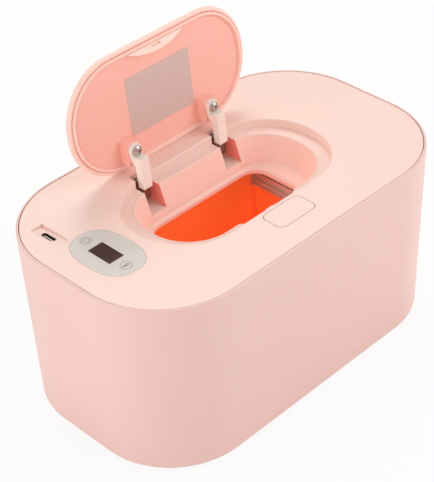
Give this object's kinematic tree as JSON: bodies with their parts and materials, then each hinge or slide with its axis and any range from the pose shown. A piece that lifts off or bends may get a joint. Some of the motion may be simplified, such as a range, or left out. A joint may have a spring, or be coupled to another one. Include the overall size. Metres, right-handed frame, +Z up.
{
  "type": "baby wipe warmer",
  "caption": "Oblong heated box for baby wipes: flap lid on gooseneck hinges over an oval bowl and mouth, release button, touch panel with display, lift-off top cover over a tank",
  "frame": {"origin": "Middle of the body's plan, on the plane the rubber feet stand on.", "axes": "+Z up. +X along the long side, from the end with the touch panel and socket to the plain end. +Y from the button side to the hinge side."},
  "size_m": [0.21, 0.1254, 0.1619],
  "materials": {
    "body_plastic": "pale pink moulded ABS, semi-gloss",
    "cover_plastic": "pale pink moulded ABS, semi-gloss",
    "lid_plastic": "pink moulded ABS, satin",
    "tank_plastic": "orange moulded plastic, satin",
    "arm_plastic": "cream moulded plastic",
    "panel_plastic": "pale grey printed overlay",
    "window_plastic": "dark tinted window",
    "dark_plastic": "black plastic",
    "board": "green laminate",
    "film": "amber heating film",
    "foam": "closed-cell foam",
    "rubber": "grey rubber",
    "lead_insulation": "silicone lead insulation",
    "contact_brass": "plated contact",
    "screw_steel": "plated steel",
    "hinge_steel": "spring steel",
    "socket_steel": "stamped shell",
    "label_film": "blank translucent label"
  },
  "bodies": {
    "body": {"outer_shell": "body_plastic", "base_plate": "body_plastic", "base_screws": "screw_steel", "rubber_feet": "rubber", "tank_frame": "body_plastic", "deck_screws": "screw_steel", "heating_tank": "tank_plastic", "heating_film": "film", "insulation_sleeve": "foam", "insulation_pad": "foam", "temperature_sensor": "dark_plastic", "thermal_cutout": "screw_steel", "heater_leads": "lead_insulation", "deck_contacts": "contact_brass"},
    "cover": {"top_cover": "cover_plastic", "cover_seal": "rubber", "control_panel": "panel_plastic", "display_window": "window_plastic", "display_module": "dark_plastic", "control_board": "board", "board_screws": "screw_steel", "usb_c_socket": "socket_steel", "touch_pads": "rubber", "contact_tower": "dark_plastic", "contact_pins": "contact_brass", "hinge_shaft": "hinge_steel", "shaft_clips": "hinge_steel", "torsion_springs": "hinge_steel", "button_springs": "hinge_steel"},
    "lid": {"lid_shell": "cover_plastic", "lid_inner_panel": "lid_plastic", "lid_seal": "lid_plastic", "lid_label": "label_film", "left_hinge_leaf": "hinge_steel", "right_hinge_leaf": "hinge_steel", "left_arm_sleeve": "arm_plastic", "right_arm_sleeve": "arm_plastic", "hinge_screws": "screw_steel"},
    "button": {"release_button": "cover_plastic"},
    "latch": {"latch_hook": "arm_plastic"}
  },
  "joints": [
    {"name": "cover_lift", "type": "slide", "parent": "body", "child": "cover", "axis": [0, 0, 1], "range_m": [0, 0.07]},
    {"name": "lid_hinge", "type": "hinge", "parent": "cover", "child": "lid", "pos_m": [0, 0.0372, 0.0942], "axis": [1, 0, 0], "range_deg": [0, 95.1], "stiffness_Nm_per_rad": 0.008, "springref_deg": -28.65},
    {"name": "button_press", "type": "slide", "parent": "cover", "child": "button", "axis": [0, 0, -1], "range_m": [0, 0.0014], "stiffness_N_per_m": 150, "springref_m": -0.001, "deforming": ["button_springs"]},
    {"name": "latch_slide", "type": "slide", "parent": "cover", "child": "latch", "axis": [0, -1, 0], "range_m": [0, 0.0014]}
  ],
  "couplings": [
    {"joint": "latch_slide", "follows": "button_press", "ratio": 1}
  ]
}
